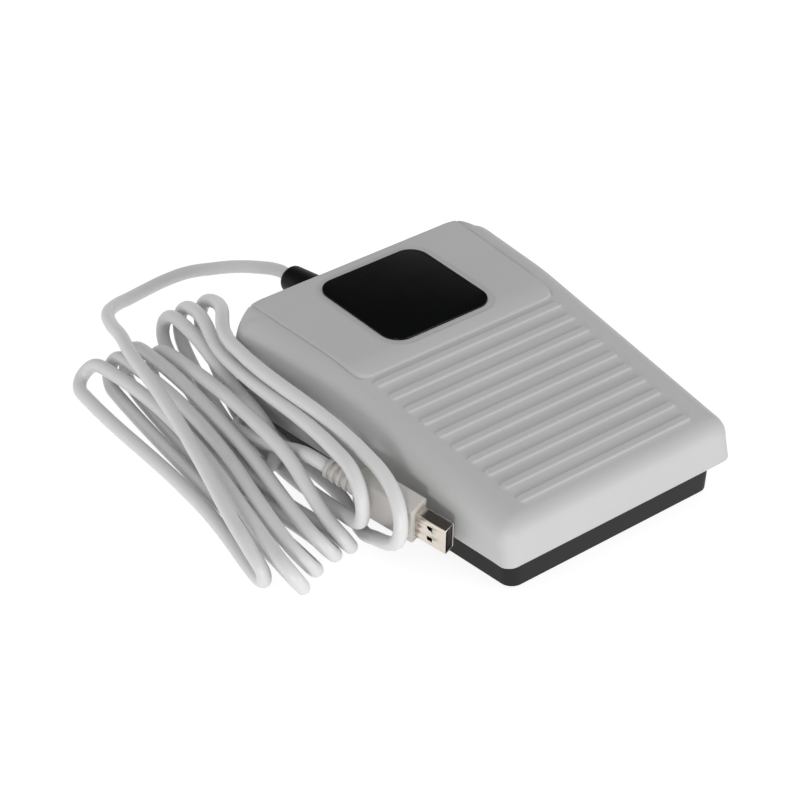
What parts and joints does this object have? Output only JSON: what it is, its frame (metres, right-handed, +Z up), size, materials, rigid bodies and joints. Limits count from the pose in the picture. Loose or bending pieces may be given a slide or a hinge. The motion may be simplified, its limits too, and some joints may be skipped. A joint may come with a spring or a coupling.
{
  "type": "usb foot pedal switch",
  "caption": "Foot pedal switch with a ribbed rocking cover hinged on a dark base, black badge plate, and a grey USB cord bundled beside it.",
  "frame": {"origin": "middle of the pedal's outline on the floor, under its rubber feet, cord and plug left out", "axes": "+X to the right seen from the front, +Y from the low front to the high back where the cord leaves, +Z up"},
  "size_m": [0.1639, 0.2218, 0.0447],
  "materials": {
    "cover_plastic": "moulded light grey, fine satin grain",
    "base_plastic": "moulded dark grey, satin",
    "badge_acrylic": "polished black",
    "steel": "bright zinc",
    "rubber": "matt black",
    "switch_plastic": "black",
    "plunger_plastic": "red",
    "terminal_brass": "plated",
    "board_laminate": "green solder mask",
    "chip_epoxy": "black",
    "crystal_nickel": "nickel plated",
    "capacitor_ceramic": "tan",
    "connector_nylon": "natural white",
    "wire_red": "red insulation",
    "core_green": "green insulation",
    "black_nylon": "black nylon",
    "gland_rubber": "black, satin",
    "cord_vinyl": "pale grey, satin",
    "moulding_vinyl": "pale grey, satin",
    "shell_nickel": "nickel plated"
  },
  "bodies": {
    "base": {"base_tray": "base_plastic", "hinge_pins": "steel", "return_springs": "steel", "switch_screws": "steel", "board_screws": "steel", "clamp_screws": "steel", "bump_stops": "rubber", "rubber_feet": "rubber", "switch_case": "switch_plastic", "switch_terminals": "terminal_brass", "usb_contacts": "terminal_brass", "encoder_board": "board_laminate", "encoder_chip": "chip_epoxy", "crystal_can": "crystal_nickel", "board_capacitors": "capacitor_ceramic", "board_header": "connector_nylon", "core_plug": "connector_nylon", "switch_wires": "wire_red", "cord_cores": "core_green", "cord_clamp": "black_nylon", "usb_tongue": "black_nylon", "cord_gland": "gland_rubber", "cord_inside": "cord_vinyl", "cord_lead": "cord_vinyl", "cord_hank": "cord_vinyl", "cord_tail": "cord_vinyl", "usb_moulding": "moulding_vinyl", "usb_shell": "shell_nickel"},
    "pedal": {"pedal_cover": "cover_plastic", "badge_plate": "badge_acrylic"},
    "lever": {"switch_lever": "steel"},
    "plunger": {"switch_plunger": "plunger_plastic"}
  },
  "joints": [
    {"name": "pedal_hinge", "type": "hinge", "parent": "base", "child": "pedal", "pos_m": [0, 0.057, 0.02], "axis": [1, 0, 0], "range_deg": [0, 3], "stiffness_Nm_per_rad": 15, "springref_deg": -4.58, "deforming": ["return_springs"]},
    {"name": "lever_hinge", "type": "hinge", "parent": "base", "child": "lever", "pos_m": [0, -0.0205, 0.0209], "axis": [-1, 0, 0], "range_deg": [0, 13.2]},
    {"name": "plunger_slide", "type": "slide", "parent": "base", "child": "plunger", "axis": [0, 0, -1], "range_m": [0, 0.00095]}
  ],
  "couplings": [
    {"joint": "lever_hinge", "follows": "pedal_hinge", "ratio": 4.3333},
    {"joint": "plunger_slide", "follows": "pedal_hinge", "m_per_rad": 0.01776}
  ]
}
